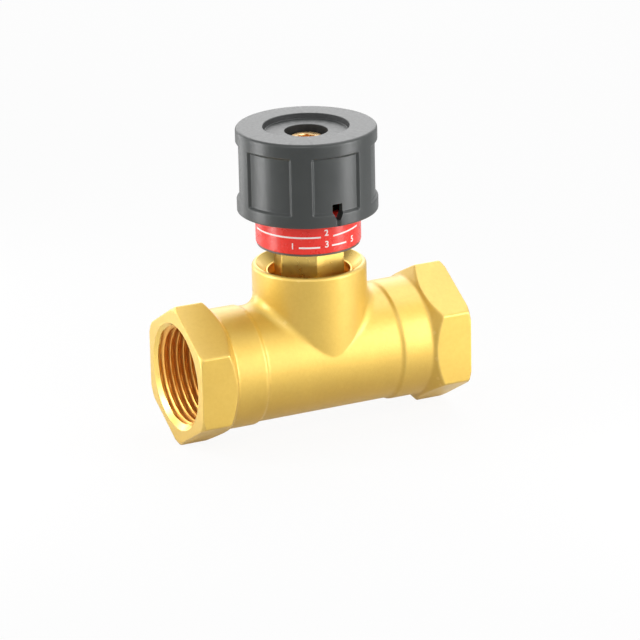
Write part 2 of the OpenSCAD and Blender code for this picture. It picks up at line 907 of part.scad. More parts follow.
module disc_screw() {
    head_top = seat_z - disc_washer_t;
    head_low = head_top - disc_screw_head_h;
    color("silver")
        at_neck()
            difference() {
                rotate_extrude() {
                    rect(0, disc_screw_r, head_low, seat_z + disc_screw_len);
                    rect(0, disc_screw_head_r, head_low, head_top);
                }
                translate([-disc_screw_head_r - cut, -disc_screw_slot_w / 2, head_low - cut])
                    cube([2 * disc_screw_head_r + 2 * cut, disc_screw_slot_w,
                          disc_screw_slot_depth + cut]);
            }
}

valve_body();
bonnet();
bonnet_seal();
spindle_seal_lower();
spindle_seal_upper();
spindle_backup_ring();
scale_base_ring();
scale_ring();
scale_ring_clip();
thrust_washer();
spring_carrier();
spring();
spindle();
knob();
knob_washer();
knob_screw();
valve_plug();
seat_disc();
disc_washer();
disc_screw();
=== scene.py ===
import math

import bmesh
import bpy
from mathutils import Matrix, Vector


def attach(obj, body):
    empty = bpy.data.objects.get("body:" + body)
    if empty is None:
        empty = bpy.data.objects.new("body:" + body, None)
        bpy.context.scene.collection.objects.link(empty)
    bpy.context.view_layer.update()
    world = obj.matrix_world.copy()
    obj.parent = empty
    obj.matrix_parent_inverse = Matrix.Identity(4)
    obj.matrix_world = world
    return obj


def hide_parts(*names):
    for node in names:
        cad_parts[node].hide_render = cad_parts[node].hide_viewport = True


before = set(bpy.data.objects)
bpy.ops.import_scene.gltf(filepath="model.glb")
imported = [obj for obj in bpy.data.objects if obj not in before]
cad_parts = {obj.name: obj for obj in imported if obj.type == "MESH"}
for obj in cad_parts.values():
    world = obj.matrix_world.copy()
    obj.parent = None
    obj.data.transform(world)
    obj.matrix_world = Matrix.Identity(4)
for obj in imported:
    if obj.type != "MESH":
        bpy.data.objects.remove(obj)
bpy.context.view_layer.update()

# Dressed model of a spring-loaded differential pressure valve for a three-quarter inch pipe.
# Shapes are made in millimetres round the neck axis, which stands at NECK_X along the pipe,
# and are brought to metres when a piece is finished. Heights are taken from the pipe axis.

MM = 0.001
NECK_X = 37.5
NECK_MM = Vector((NECK_X, 0, 0))
NECK_M = Vector((NECK_X * MM, 0, 0))
TAU = 2 * math.pi


# Shapes

SEGMENTS, FINE_SEGMENTS = 160, 256
ON_AXIS, WELD = 1e-6, 1e-5
SHARP_DEGREES, FACE_WEIGHT = 35, 80


def clamped(value):
    return min(1, max(0, value))


def ease(value):
    value = clamped(value)
    return value * value * (3 - 2 * value)


def filleted(corners, steps=4):
    """Points of a closed outline given as (x, y, radius) corners, with the corners rounded."""
    points = []
    for i, (x, y, radius) in enumerate(corners):
        here = Vector((x, y))
        if not radius:
            points.append(here)
            continue
        to_last = (Vector(corners[i - 1][:2]) - here).normalized()
        to_next = (Vector(corners[(i + 1) % len(corners)][:2]) - here).normalized()
        half = to_last.angle(to_next) / 2
        centre = here + (to_last + to_next).normalized() * radius / math.sin(half)
        start = here + to_last * radius / math.tan(half) - centre
        end = here + to_next * radius / math.tan(half) - centre
        sweep = math.atan2(start.x * end.y - start.y * end.x, start.dot(end))
        for k in range(steps + 1):
            a = sweep * k / steps
            points.append(centre + Vector((start.x * math.cos(a) - start.y * math.sin(a),
                                           start.x * math.sin(a) + start.y * math.cos(a))))
    return [(p.x, p.y) for p in points]


def mesh_of(name, verts, faces):
    """Closed mesh with its faces turned outwards."""
    mesh = bpy.data.meshes.new(name)
    mesh.from_pydata(verts, [], faces)
    bm = bmesh.new()
    bm.from_mesh(mesh)
    bmesh.ops.remove_doubles(bm, verts=bm.verts, dist=WELD)
    bmesh.ops.recalc_face_normals(bm, faces=bm.faces)
    bm.to_mesh(mesh)
    bm.free()
    return mesh


def even_angles(count):
    return [TAU * i / count for i in range(count)]


def spun(name, outline, angles=None, reshape=None, along_x=False):
    """Solid of a closed (radius, height) outline spun round its axis.

    reshape gives the radius at an angle, radius and height. The axis is the neck's, or the
    pipe's with along_x, where height runs along the pipe from the neck axis."""
    angles = angles or even_angles(SEGMENTS)
    verts, rows = [], []
    for r, z in outline:
        row = []
        for a in angles:
            if r < ON_AXIS and row:
                row.append(row[0])
                continue
            reach = reshape(a, r, z) if reshape else r
            row.append(len(verts))
            if along_x:
                verts.append((z, reach * math.sin(a), reach * math.cos(a)))
            else:
                verts.append((reach * math.cos(a), reach * math.sin(a), z))
        rows.append(row)
    faces = []
    for i, row in enumerate(rows):
        after = rows[(i + 1) % len(rows)]
        for k in range(len(angles)):
            n = (k + 1) % len(angles)
            face = [row[k], row[n], after[n], after[k]]
            face = [v for j, v in enumerate(face) if v != face[j - 1]]
            if len(face) > 2:
                faces.append(face)
    return mesh_of(name, verts, faces)


def extruded(name, outline, low, high, axis="Z"):
    """Prism of a closed outline from low to high along an axis."""
    place = {"Z": lambda u, v, w: (u, v, w), "Y": lambda u, v, w: (u, w, v),
             "X": lambda u, v, w: (w, u, v)}[axis]
    n = len(outline)
    verts = [place(u, v, w) for w in (low, high) for u, v in outline]
    faces = [[i, (i + 1) % n, n + (i + 1) % n, n + i] for i in range(n)]
    faces += [list(range(n)), list(range(n, 2 * n))]
    return mesh_of(name, verts, faces)


def corner_radius(flats):
    """Radius over the corners of a hexagon of a width across its flats."""
    return flats / 2 / math.cos(math.radians(30))


def hexagon(flats, turn=0, fillet=0.0):
    """Outline of a hexagon of a width across its flats, its ridges rounded by fillet."""
    r = corner_radius(flats)
    corners = [(r * math.cos(math.radians(60 * i + turn)),
                r * math.sin(math.radians(60 * i + turn)), fillet) for i in range(6)]
    return filleted(corners) if fillet else [c[:2] for c in corners]


def placed(name, data):
    """New object in the scene round a mesh, a curve, a lamp or a camera."""
    obj = bpy.data.objects.new(name, data)
    bpy.context.scene.collection.objects.link(obj)
    return obj


def scratch(data):
    """Object that only carries its data while it is worked on."""
    return placed("scratch", data)


def settled(obj):
    """Mesh of an object with its modifiers applied. The object is removed."""
    graph = bpy.context.evaluated_depsgraph_get()
    graph.update()
    mesh = bpy.data.meshes.new_from_object(obj.evaluated_get(graph), depsgraph=graph)
    bpy.data.objects.remove(obj)
    return mesh


def joined(how, base, *tools):
    """Mesh of a base with tools joined to it or cut from it, one after another."""
    for tool in tools:
        obj, other = scratch(base), scratch(tool)
        mod = obj.modifiers.new(how, "BOOLEAN")
        mod.object = other
        mod.operation = how
        mod.solver = "MANIFOLD"
        base = settled(obj)
        bpy.data.objects.remove(other)
    return base


def ribs(low, high, start, end, half, first=0):
    """Six upright ribs that run out from the neck axis, from one radius to another."""
    made = []
    for i in range(6):
        rib = extruded("rib", [(start, -half), (end, -half), (end, half), (start, half)],
                       low, high)
        rib.transform(Matrix.Rotation(TAU * (i + first) / 6, 4, "Z"))
        made.append(rib)
    return made


def piece(name, mesh, body, materials, replaces=()):
    """Finished piece in metres at the neck axis, riding on a body."""
    mesh.transform(Matrix.Translation(NECK_M) @ Matrix.Scale(MM, 4))
    mesh.name = name
    mesh.shade_smooth()
    mesh.set_sharp_from_angle(angle=math.radians(SHARP_DEGREES))
    mesh.materials.clear()
    for material in materials:
        mesh.materials.append(material)
    obj = placed(name, mesh)
    weighted = obj.modifiers.new("weighted normals", "WEIGHTED_NORMAL")
    weighted.keep_sharp = True
    weighted.weight = FACE_WEIGHT
    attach(obj, body)
    if replaces:
        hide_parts(*replaces)
    return obj


def faces_from_neck(obj):
    """Faces of a finished piece, each with its middle in millimetres from the neck axis."""
    for face in obj.data.polygons:
        yield face, face.center / MM - NECK_MM


# Shader groups that several finishes share

def new_group(name, inputs, outputs):
    group = bpy.data.node_groups.new(name, "ShaderNodeTree")
    kinds = {"value": "NodeSocketFloat", "color": "NodeSocketColor"}
    for label, kind, value in inputs:
        socket = group.interface.new_socket(label, in_out="INPUT", socket_type=kinds[kind])
        socket.default_value = value
    for label, kind in outputs:
        group.interface.new_socket(label, in_out="OUTPUT", socket_type=kinds[kind])
    return group, group.nodes.new("NodeGroupInput"), group.nodes.new("NodeGroupOutput")


def link(tree, start, end):
    tree.links.new(start, end)


def fill(tree, sockets, values):
    """Links each socket to its value where that is a socket too, and sets it otherwise."""
    for socket, value in zip(sockets, values):
        if isinstance(value, bpy.types.NodeSocket):
            link(tree, value, socket)
        else:
            socket.default_value = value


def object_place(tree):
    return tree.nodes.new("ShaderNodeTexCoord").outputs["Object"]


def math_node(tree, operation, first, second):
    """Math node whose inputs are sockets or plain numbers."""
    node = tree.nodes.new("ShaderNodeMath")
    node.operation = operation
    fill(tree, node.inputs, (first, second))
    return node.outputs[0]


def noise_node(tree, place, scale, detail, rough):
    node = tree.nodes.new("ShaderNodeTexNoise")
    labels = ("Vector", "Scale", "Detail", "Roughness")
    fill(tree, [node.inputs[label] for label in labels], (place, scale, detail, rough))
    return node.outputs["Fac"]


def spread(tree, value, low, high, new_low, new_high):
    """Value from one range mapped to another, held at its ends."""
    node = tree.nodes.new("ShaderNodeMapRange")
    fill(tree, node.inputs, (value, low, high, new_low, new_high))
    return node.outputs[0]


def mix_color(tree, mask, first, second):
    node = tree.nodes.new("ShaderNodeMix")
    node.data_type = "RGBA"
    fill(tree, (node.inputs[0], node.inputs[6], node.inputs[7]), (mask, first, second))
    return node.outputs[2]


def grain_group():
    """Fine grain of a blasted or moulded surface. Grain is the grains' count to a millimetre."""
    coarse_scale, pit_scale, pit_reach = 0.22, 0.3, 0.28
    fine_height, coarse_height = 0.6, 0.8
    group, given, out = new_group(
        "surface grain", [("Grain", "value", 4.0), ("Pits", "value", 0.3)],
        [("Height", "value"), ("Tone", "value")])
    place = object_place(group)
    scale = math_node(group, "MULTIPLY", given.outputs["Grain"], 1 / MM)
    fine = noise_node(group, place, scale, 2.0, 0.6)
    coarse = noise_node(group, place, math_node(group, "MULTIPLY", scale, coarse_scale),
                        3.0, 0.55)
    cells = group.nodes.new("ShaderNodeTexVoronoi")
    link(group, place, cells.inputs["Vector"])
    link(group, math_node(group, "MULTIPLY", scale, pit_scale), cells.inputs["Scale"])
    pit = spread(group, cells.outputs["Distance"], 0.0, pit_reach, 1.0, 0.0)
    deep = math_node(group, "MULTIPLY", pit, given.outputs["Pits"])
    height = math_node(group, "ADD", math_node(group, "MULTIPLY", fine, fine_height),
                       math_node(group, "MULTIPLY", coarse, coarse_height))
    link(group, math_node(group, "SUBTRACT", height, deep), out.inputs["Height"])
    link(group, spread(group, coarse, 0.3, 0.7, 0.0, 1.0), out.inputs["Tone"])
    return group


def drift_group():
    """Slow change between two colours in patches of a size in millimetres."""
    group, given, out = new_group(
        "colour drift",
        [("Base", "color", (0.8, 0.8, 0.8, 1)), ("Other", "color", (0.6, 0.6, 0.6, 1)),
         ("Patch", "value", 8.0), ("Amount", "value", 0.5)],
        [("Color", "color")])
    scale = math_node(group, "DIVIDE", 1 / MM, given.outputs["Patch"])
    noise = noise_node(group, object_place(group), scale, 4.0, 0.6)
    patches = spread(group, noise, 0.35, 0.68, 0.0, 1.0)
    mask = math_node(group, "MULTIPLY", patches, given.outputs["Amount"])
    link(group, mix_color(group, mask, given.outputs["Base"], given.outputs["Other"]),
         out.inputs["Color"])
    return group


def ridge_group():
    """Masks of the worn ridges, and of the hollows that get painted shade, from the shape of the
    mesh.
    """
    level, still = 0.5, 0.005
    group, given, out = new_group(
        "worn ridges and painted hollow shade", [("Reach", "value", 0.06)],
        [("Ridge", "value"), ("Painted hollow shade", "value")])
    bend = group.nodes.new("ShaderNodeNewGeometry").outputs["Pointiness"]
    high = math_node(group, "ADD", level, given.outputs["Reach"])
    low = math_node(group, "SUBTRACT", level, given.outputs["Reach"])
    link(group, spread(group, bend, level + still, high, 0.0, 1.0), out.inputs["Ridge"])
    # The hollow mask marks where shade is painted into creases and hollows.
    link(group, spread(group, bend, low, level - still, 1.0, 0.0), out.inputs["Painted hollow shade"])
    return group


ROUND_NECK, ROUND_PIPE = 0.0, 1.0


def turning_group():
    """Fine rings that a lathe tool leaves, as bands of a width in millimetres."""
    group, given, out = new_group(
        "tool marks", [("Band", "value", 0.12), ("Along", "value", ROUND_NECK)],
        [("Height", "value")])
    split = group.nodes.new("ShaderNodeSeparateXYZ")
    link(group, object_place(group), split.inputs[0])
    x, y, z = split.outputs
    from_neck = math_node(group, "SUBTRACT", x, NECK_X * MM)

    def reach(first, second):
        squares = math_node(group, "ADD", math_node(group, "MULTIPLY", first, first),
                            math_node(group, "MULTIPLY", second, second))
        return math_node(group, "SQRT", squares, 0.0)

    round_neck = math_node(group, "ADD", z, reach(from_neck, y))
    round_pipe = math_node(group, "ADD", x, reach(y, z))
    mix = group.nodes.new("ShaderNodeMix")
    fill(group, (mix.inputs[0], mix.inputs[2], mix.inputs[3]),
         (given.outputs["Along"], round_neck, round_pipe))
    bands = math_node(group, "DIVIDE", mix.outputs[0],
                      math_node(group, "MULTIPLY", given.outputs["Band"], MM))
    line = group.nodes.new("ShaderNodeTexNoise")
    line.noise_dimensions = "1D"
    fill(group, (line.inputs["W"], line.inputs["Scale"], line.inputs["Detail"]),
         (bands, 1.0, 2.0))
    link(group, line.outputs["Fac"], out.inputs["Height"])
    return group


GRAIN = grain_group()
DRIFT = drift_group()
RIDGES = ridge_group()
TURNING = turning_group()


# Finishes

class Finish:
    """A material with one Principled shader and the shared groups placed in it."""

    def __init__(self, name, metallic=0.0):
        self.material = bpy.data.materials.new(name)
        self.material.use_nodes = True
        self.tree = self.material.node_tree
        self.shader = self.tree.nodes["Principled BSDF"]
        self.set("Metallic", metallic)
        self.set("IOR", 1.5)

    def set(self, label, value):
        self.shader.inputs[label].default_value = value

    def feed(self, label, socket):
        link(self.tree, socket, self.shader.inputs[label])

    def group(self, group, **values):
        """Outputs of a shared group with these values."""
        node = self.tree.nodes.new("ShaderNodeGroup")
        node.node_tree = group
        fill(self.tree, [node.inputs[label] for label in values], values.values())
        return node.outputs

    def color(self, base, other, patch, amount):
        return self.group(DRIFT, Base=base, Other=other, Patch=patch, Amount=amount)["Color"]

    def toned(self, grain, rough):
        """Roughness that follows the grain's tone between two values."""
        return spread(self.tree, grain["Tone"], 0.0, 1.0, *rough)

    def share(self, mask, amount):
        return math_node(self.tree, "MULTIPLY", mask, amount)

    def bump(self, height, depth, strength):
        """Normal of a height whose depth is in millimetres."""
        node = self.tree.nodes.new("ShaderNodeBump")
        node.inputs["Distance"].default_value = depth * MM
        node.inputs["Strength"].default_value = strength
        link(self.tree, height, node.inputs["Height"])
        self.feed("Normal", node.outputs[0])


def cast_brass():
    """Satin skin of a blasted brass forging, paler on its worn ridges, with painted shade
    darkening its hollows.
    """
    finish = Finish("cast_brass", metallic=1.0)
    tree = finish.tree
    grain = finish.group(GRAIN, Grain=5.0, Pits=0.35)
    ridges = finish.group(RIDGES, Reach=0.05)
    skin = finish.color((0.65, 0.45, 0.088, 1), (0.60, 0.405, 0.075, 1), 9.0, 0.6)
    worn = mix_color(tree, finish.share(ridges["Ridge"], 0.2), skin, (0.85, 0.64, 0.28, 1))
    # Painted shade: hollows are darkened towards a deep orange brass.
    painted_hollow_shade = mix_color(tree, finish.share(ridges["Painted hollow shade"], 0.55), worn, (0.48, 0.27, 0.04, 1))
    finish.feed("Base Color", painted_hollow_shade)
    finish.set("Coat Weight", 0.8)
    finish.set("Coat Roughness", 0.30)
    finish.feed("Roughness", math_node(tree, "SUBTRACT", finish.toned(grain, (0.54, 0.64)),
                                       finish.share(ridges["Ridge"], 0.08)))
    finish.bump(grain["Height"], 0.035, 0.8)
    return finish.material


def turned(name, along, base, other, rough, grains=2.5, patch=5.0, amount=0.7, band=0.12,
           depth=0.002, strength=0.7):
    """Metal as a tool or a die leaves it, with fine rings round the neck or the pipe."""
    finish = Finish(name, metallic=1.0)
    grain = finish.group(GRAIN, Grain=grains, Pits=0.1)
    finish.feed("Base Color", finish.color(base, other, patch, amount))
    finish.feed("Roughness", finish.toned(grain, rough))
    marks = finish.group(TURNING, Band=band, Along=along)
    finish.bump(marks["Height"], depth, strength)
    return finish.material


def moulded(name, base, other, rough, grains, depth, patch=6.0, worn=None):
    """Moulded plastic or rubber with a fine texture, and ridges that wear to another tone."""
    finish = Finish(name)
    grain = finish.group(GRAIN, Grain=grains, Pits=0.15)
    color = finish.color(base, other, patch, 0.6)
    if worn:
        ridges = finish.group(RIDGES, Reach=0.08)
        color = mix_color(finish.tree, finish.share(ridges["Ridge"], 0.5), color, worn)
    finish.feed("Base Color", color)
    finish.feed("Roughness", finish.toned(grain, rough))
    finish.bump(grain["Height"], depth, 0.8)
    return finish.material


CAST_BRASS = cast_brass()
# Machined brass of the threads, darker and more orange than the neck's: painted shade in the
# threaded mouths and the lower bore.
SHADED_THREAD_BRASS = turned("thread_brass_painted_shade", ROUND_PIPE, (0.84, 0.47, 0.12, 1),
                      (0.76, 0.37, 0.08, 1), (0.36, 0.46))
NECK_BRASS = turned("neck_brass", ROUND_NECK, (0.84, 0.60, 0.17, 1),
                    (0.80, 0.55, 0.14, 1), (0.26, 0.34))
SCREW_BRASS = turned("screw_brass", ROUND_NECK, (0.80, 0.55, 0.27, 1),
                     (0.70, 0.44, 0.18, 1), (0.25, 0.38))
STEEL = turned("drawn_steel", ROUND_NECK, (0.62, 0.61, 0.59, 1), (0.50, 0.49, 0.47, 1),
               (0.22, 0.34), grains=3.0, patch=4.0, amount=0.6, band=0.08, depth=0.005,
               strength=0.6)
KNOB_PLASTIC = moulded("knob_plastic", (0.036, 0.040, 0.039, 1), (0.043, 0.047, 0.046, 1),
                       (0.32, 0.40), 6.0, 0.008, worn=(0.08, 0.083, 0.08, 1))
# Darker, matt copy of the knob plastic: its dark colour is painted shade on the walls of the top
# recess and the well.
KNOB_PAINTED_SHADE = moulded("knob_inside_painted_shade", (0.012, 0.013, 0.013, 1), (0.016, 0.017, 0.017, 1),
                      (0.60, 0.70), 6.0, 0.008)
SCALE_PLASTIC = moulded("scale_plastic", (0.78, 0.026, 0.014, 1), (0.70, 0.020, 0.011, 1),
                        (0.22, 0.30), 2.0, 0.002)
SCALE_PRINT = moulded("scale_print", (0.85, 0.80, 0.78, 1), (0.80, 0.70, 0.68, 1),
                      (0.40, 0.50), 5.0, 0.003, patch=1.5)
RING_PLASTIC = moulded("ring_plastic", (0.10, 0.075, 0.06, 1), (0.07, 0.055, 0.045, 1),
                       (0.45, 0.55), 5.0, 0.006)
SEAL_RUBBER = moulded("seal_rubber", (0.020, 0.020, 0.020, 1), (0.030, 0.029, 0.028, 1),
                      (0.50, 0.62), 4.0, 0.006)
BACKUP_PLASTIC = moulded("backup_plastic", (0.78, 0.78, 0.75, 1), (0.70, 0.70, 0.67, 1),
                         (0.40, 0.50), 4.0, 0.004)


# Body

# Along the pipe, from the neck axis
STEP_X, STEP_LEN, CONE_IN_X, RIDGE_IN_X, END_CHAMFER = 19.2, 0.7, 27.2, 29.7, 0.6
# Round the pipe
BARREL_R, COLLAR_R, RIDGE_R, END_FACE_R, HEX_FLATS = 14.8, 15.3, 18.395, 17.4, 32.0
PASSAGE_R, MOUTH_R, MOUTH_DEPTH = 10.6, 13.7, 1.3
# Round the neck
NECK_R, RECESS_R, LEAD_R, BORE_R, ORIFICE_R, LIP_W = 14.45, 12.2, 10.4, 9.45, 6.0, 0.9
RIM_ROUND, BORE_STOCK = 1.0, 0.3
# Heights
NECK_TOP, COUNTERSINK_Z, FLANGE_Z, SEAT_Z, PLATE_TOP = 24.4, 22.3, 18.9, 2.8, 1.5
# Seat wall: thickness and lean of its two webs, and half its width across the pipe
WEB, WEB_LEAN, WALL_HALF = 2.4, 3.0, 12
# Blend of neck and barrel. Its sections run to BLEND_END degrees on each side and sink into
# the body from BLEND_FADE on. They bite into the walls, and their roots lie inside them.
BLEND_R, BLEND_END, BLEND_FADE, BLEND_SINK = 3.0, 76, 62, 0.5
BLEND_BITE, BLEND_ROOT, BLEND_SECTIONS, BLEND_POINTS = 0.02, 0.6, 76, 20
# Skin of the forging
SKIN_VOXEL, SKIN_SMOOTHING = 0.32, 3
# Thread
THREAD_CREST_R, THREAD_ROOT_R, THREAD_PITCH, THREAD_DEPTH = 12.06, 13.22, 1.814, 16.0
FLANK_SLOPE, CREST_FLAT, ROUNDING = 1.18, 0.09, 0.35
RUN_OUT, RUN_OUT_GAP, PAST_MOUTH = 1.2, 0.4, 0.4
THREAD_ROWS, THREAD_SEGMENTS = 150, 144


def end_hexagon(side):
    """Hexagon of one end, scalloped by the turned cone towards its collar."""
    prism = extruded("hexagon", hexagon(HEX_FLATS, 90), side * CONE_IN_X, side * NECK_X, "X")
    cone = spun("cone", [(0, 0), (COLLAR_R, side * CONE_IN_X), (RIDGE_R, side * RIDGE_IN_X),
                         (RIDGE_R, side * (NECK_X - END_CHAMFER)),
                         (END_FACE_R, side * NECK_X), (0, side * NECK_X)],
                even_angles(FINE_SEGMENTS), along_x=True)
    return joined("INTERSECT", prism, cone)


def blend_ring(angle):
    """Section of the cast blend: the arc of a ball that rolls along neck and barrel."""
    far, wide = NECK_R + BLEND_R, BARREL_R + BLEND_R
    y = far * math.sin(angle)
    z = math.sqrt(wide * wide - y * y)
    to_neck = Vector((-math.cos(angle), -math.sin(angle), 0))
    to_barrel = Vector((0, -y, -z)) / wide
    middle = (to_neck + to_barrel).normalized()
    sweep = to_neck.angle(to_barrel)
    faded = max(0, (abs(math.degrees(angle)) - BLEND_FADE) / (BLEND_END - BLEND_FADE))
    centre = Vector((far * math.cos(angle), y, z)) + BLEND_SINK * faded ** 2 * middle
    start = math.acos(1 - BLEND_BITE / BLEND_R)
    ring = [centre + (BLEND_R + BLEND_ROOT) * to_neck]
    for i in range(BLEND_POINTS):
        b = start + (sweep - 2 * start) * i / (BLEND_POINTS - 1)
        ring.append(centre + BLEND_R * (math.sin(sweep - b) * to_neck
                                        + math.sin(b) * to_barrel) / math.sin(sweep))
    ring.append(centre + (BLEND_R + BLEND_ROOT) * to_barrel)
    ring.append(centre + (BLEND_R / math.cos(sweep / 2) + 2 * BLEND_ROOT) * middle)
    return ring


def neck_blend(side):
    """Blend on one side of the neck, lofted through its sections."""
    steps = BLEND_SECTIONS
    rings = [blend_ring(math.radians(BLEND_END * (2 * k / steps - 1)))
             for k in range(steps + 1)]
    size = len(rings[0])
    verts = [(side * p.x, p.y, p.z) for ring in rings for p in ring]
    faces = [[k * size + i, k * size + (i + 1) % size,
              (k + 1) * size + (i + 1) % size, (k + 1) * size + i]
             for k in range(steps) for i in range(size)]
    faces += [list(range(size)), list(range(steps * size, (steps + 1) * size))]
    return mesh_of("blend", verts, faces)


def waterway():
    """Cast space from mouth to mouth, less the S-shaped wall that carries the seat."""
    end, top, bore = NECK_X + 1, NECK_TOP + 2, BORE_R - BORE_STOCK
    bar = spun("bar", [(0, -end), (PASSAGE_R, -end), (PASSAGE_R, end), (0, end)], along_x=True)
    rise = spun("rise", [(0, 0), (bore, 0), (bore, top), (0, top)])
    half = [(-BORE_R, -PLATE_TOP), (-BORE_R - WEB, -PLATE_TOP),
            (-BORE_R - WEB - WEB_LEAN, PASSAGE_R), (-BORE_R - WEB_LEAN, PASSAGE_R),
            (-BORE_R, PLATE_TOP)]
    wall = extruded("wall", half + [(-u, -v) for u, v in half], -WALL_HALF, WALL_HALF, "Y")
    return joined("DIFFERENCE", joined("UNION", bar, rise), wall)


def casting():
    """Forging with its soft edges, before the machine cuts."""
    angles, top = even_angles(FINE_SEGMENTS), NECK_TOP + 1
    end, foot = CONE_IN_X + 1, STEP_X - STEP_LEN
    barrel = spun("barrel", [(0, -end), (COLLAR_R, -end), (COLLAR_R, -STEP_X),
                             (BARREL_R, -foot), (BARREL_R, foot), (COLLAR_R, STEP_X),
                             (COLLAR_R, end), (0, end)], angles, along_x=True)
    neck = spun("neck", [(0, 0), (NECK_R, 0), (NECK_R, top), (0, top)], angles)
    solid = joined("UNION", barrel, neck, end_hexagon(1), end_hexagon(-1), neck_blend(1),
                   neck_blend(-1))
    obj = scratch(joined("DIFFERENCE", solid, waterway()))
    skin = obj.modifiers.new("skin", "REMESH")
    skin.mode = "VOXEL"
    skin.voxel_size = SKIN_VOXEL
    soft = obj.modifiers.new("soft edges", "SMOOTH")
    soft.factor = 0.5
    soft.iterations = SKIN_SMOOTHING
    return settled(obj)


def thread_cut(side):
    """Cutter of one end: the pipe thread, its countersink and its run-out."""
    def radius(angle, r, x):
        if r < ON_AXIS:
            return r
        depth = NECK_X - abs(x)
        turn = (side * angle / TAU + depth / THREAD_PITCH) % 1
        groove = clamped(FLANK_SLOPE * (1 - abs(2 * turn - 1)) - CREST_FLAT)
        groove = ease(groove) * ROUNDING + groove * (1 - ROUNDING)
        fade = clamped((THREAD_DEPTH - RUN_OUT_GAP - depth) / RUN_OUT)
        cut = THREAD_CREST_R + (THREAD_ROOT_R - THREAD_CREST_R) * groove * fade
        return max(cut, MOUTH_R - depth * (MOUTH_R - THREAD_CREST_R) / MOUTH_DEPTH)

    inner, length = NECK_X - THREAD_DEPTH, THREAD_DEPTH + PAST_MOUTH
    rows = [(THREAD_CREST_R, side * (inner + length * i / THREAD_ROWS))
            for i in range(THREAD_ROWS + 1)]
    outline = [(0, side * inner)] + rows + [(0, side * (NECK_X + PAST_MOUTH))]
    return spun("thread", outline, even_angles(THREAD_SEGMENTS), radius, along_x=True)


def neck_cut():
    """Cutter of the bonnet's bore, of its countersink and of the neck's rim."""
    r, top, high, over = RIM_ROUND, NECK_TOP, NECK_TOP + 3, 0.02
    rim = [(NECK_R + over - r * (1 - math.cos(a)), top - r * (1 - math.sin(a)))
           for a in [math.radians(90 - 15 * k) for k in range(7)]]
    return spun("bore", filleted([
        (0, PLATE_TOP, 0), (BORE_R, PLATE_TOP, 0), (BORE_R, FLANGE_Z, 0.15),
        (LEAD_R, FLANGE_Z, 0.15), (LEAD_R, COUNTERSINK_Z, 0), (RECESS_R, top, 0.3)])
        + rim + [(NECK_R + 1, top - r), (NECK_R + 1, high), (0, high)])


def mark_machined_and_shaded(obj):
    """Gives threads and bore the second material, a darker machined brass that paints shade into
    them, and mouths, countersink and rim the third.
    """
    for face, (x, y, z) in faces_from_neck(obj):
        depth = NECK_X - abs(x)
        in_bore = math.hypot(x, y) < RECESS_R + 0.02 and z > PLATE_TOP + 0.05
        if math.hypot(y, z) < MOUTH_R and depth < THREAD_DEPTH + 0.01:
            face.material_index = 1 if depth > MOUTH_DEPTH + 0.1 else 2
        elif z > NECK_TOP - 0.02 or in_bore:
            # Bore faces below the countersink take the darker brass as painted shade.
            face.material_index = 2 if z > COUNTERSINK_Z else 1


def valve_body():
    foot, edge, inner = PLATE_TOP - 0.4, ORIFICE_R + LIP_W, ORIFICE_R - 0.3
    seat = spun("lip", filleted([(inner, foot, 0), (edge, foot, 0), (edge, SEAT_Z, 0.2),
                                 (inner, SEAT_Z, 0)]))
    orifice = spun("orifice", [(0, -3), (ORIFICE_R, -3), (ORIFICE_R, SEAT_Z - 0.2),
                               (ORIFICE_R + 0.3, SEAT_Z + 0.1), (0, SEAT_Z + 0.1)])
    body = joined("DIFFERENCE", casting(), neck_cut())
    body = joined("UNION", body, seat)
    body = joined("DIFFERENCE", body, orifice, thread_cut(1), thread_cut(-1))
    mark_machined_and_shaded(piece("body_forging", body, "valve",
                        [CAST_BRASS, SHADED_THREAD_BRASS, NECK_BRASS], ["valve_body"]))


# Bonnet

BONNET_LOW, BONNET_HEX_Z, HEX_TOP, SPIGOT_TOP = 10.1, 19.7, 29.65, 39.4
SHANK_R, FLANGE_R, SPIGOT_R = 9.4, 10.1, 7.2
BONNET_FLATS, BONNET_TURN, HEX_FILLET, TRIM_SLOPE, TRIM_R = 16, -103, 0.25, 3.9, 8.1
SEAL_GROOVE_Z, SEAL_GROOVE_TOP, SEAL_GROOVE_DEPTH = 16.0, 17.7, 1.6
CLIP_LOW, CLIP_HIGH, CLIP_DEPTH = 35.45, 36.25, 0.6
CHAMBER_R, CHAMBER_TOP, STEM_BORE_R = 6.2, 28.4, 4.05
STEM_GROOVE_R, STEM_GROOVES = 5.6, ((33.65, 35.25), (36.45, 38.7))


